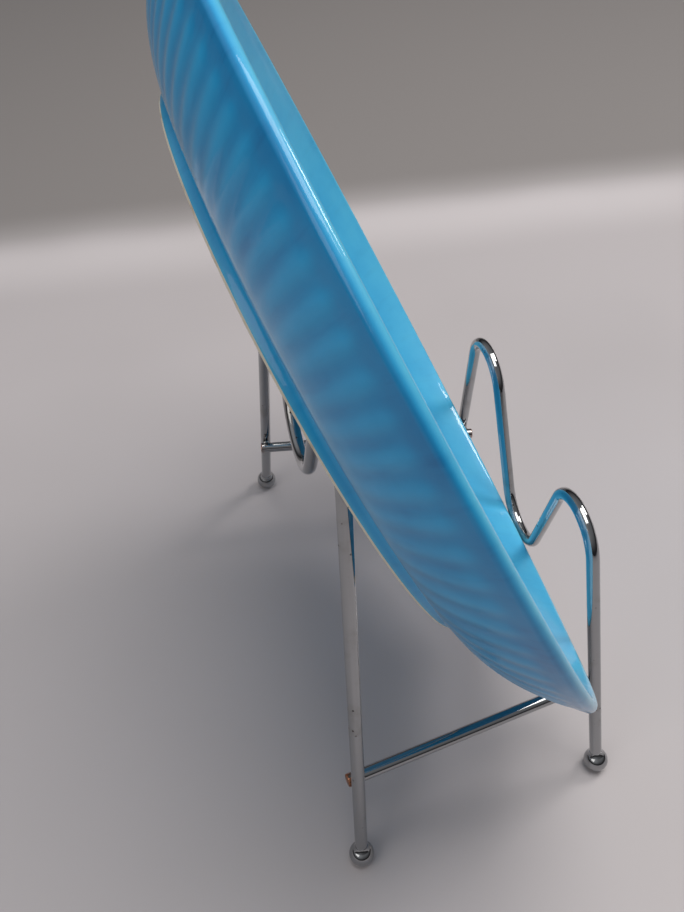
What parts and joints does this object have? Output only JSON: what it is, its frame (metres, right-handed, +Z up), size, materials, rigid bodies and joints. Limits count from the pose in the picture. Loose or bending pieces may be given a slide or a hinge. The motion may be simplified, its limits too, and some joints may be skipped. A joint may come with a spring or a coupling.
{
  "type": "dish on wire stand",
  "caption": "Round glazed ceramic dish with a turned foot ring, leaning back on a chrome-plated bent-wire display stand with ball feet.",
  "frame": {"origin": "on the floor, under the middle of the object's bounding box", "axes": "+X is the way the dish faces, +Y is to the right for someone looking at its face, +Z is up"},
  "size_m": [0.1396, 0.2814, 0.3076],
  "materials": {
    "glaze": "glossy fired turquoise glaze on stoneware",
    "chrome_wire": "polished chrome plate on round steel wire",
    "chrome_ball": "polished chrome plate on a steel ball"
  },
  "bodies": {
    "stand": {"front_frame": "chrome_wire", "rear_frame": "chrome_wire", "left_side_rail": "chrome_wire", "right_side_rail": "chrome_wire", "front_left_foot": "chrome_ball", "front_right_foot": "chrome_ball", "rear_left_foot": "chrome_ball", "rear_right_foot": "chrome_ball"},
    "dish": {"dish": "glaze"}
  },
  "joints": [
    {"name": "dish_lift", "type": "slide", "parent": "stand", "child": "dish", "axis": [-0.2521, 0, 0.9677], "range_m": [0, 0.18]}
  ]
}
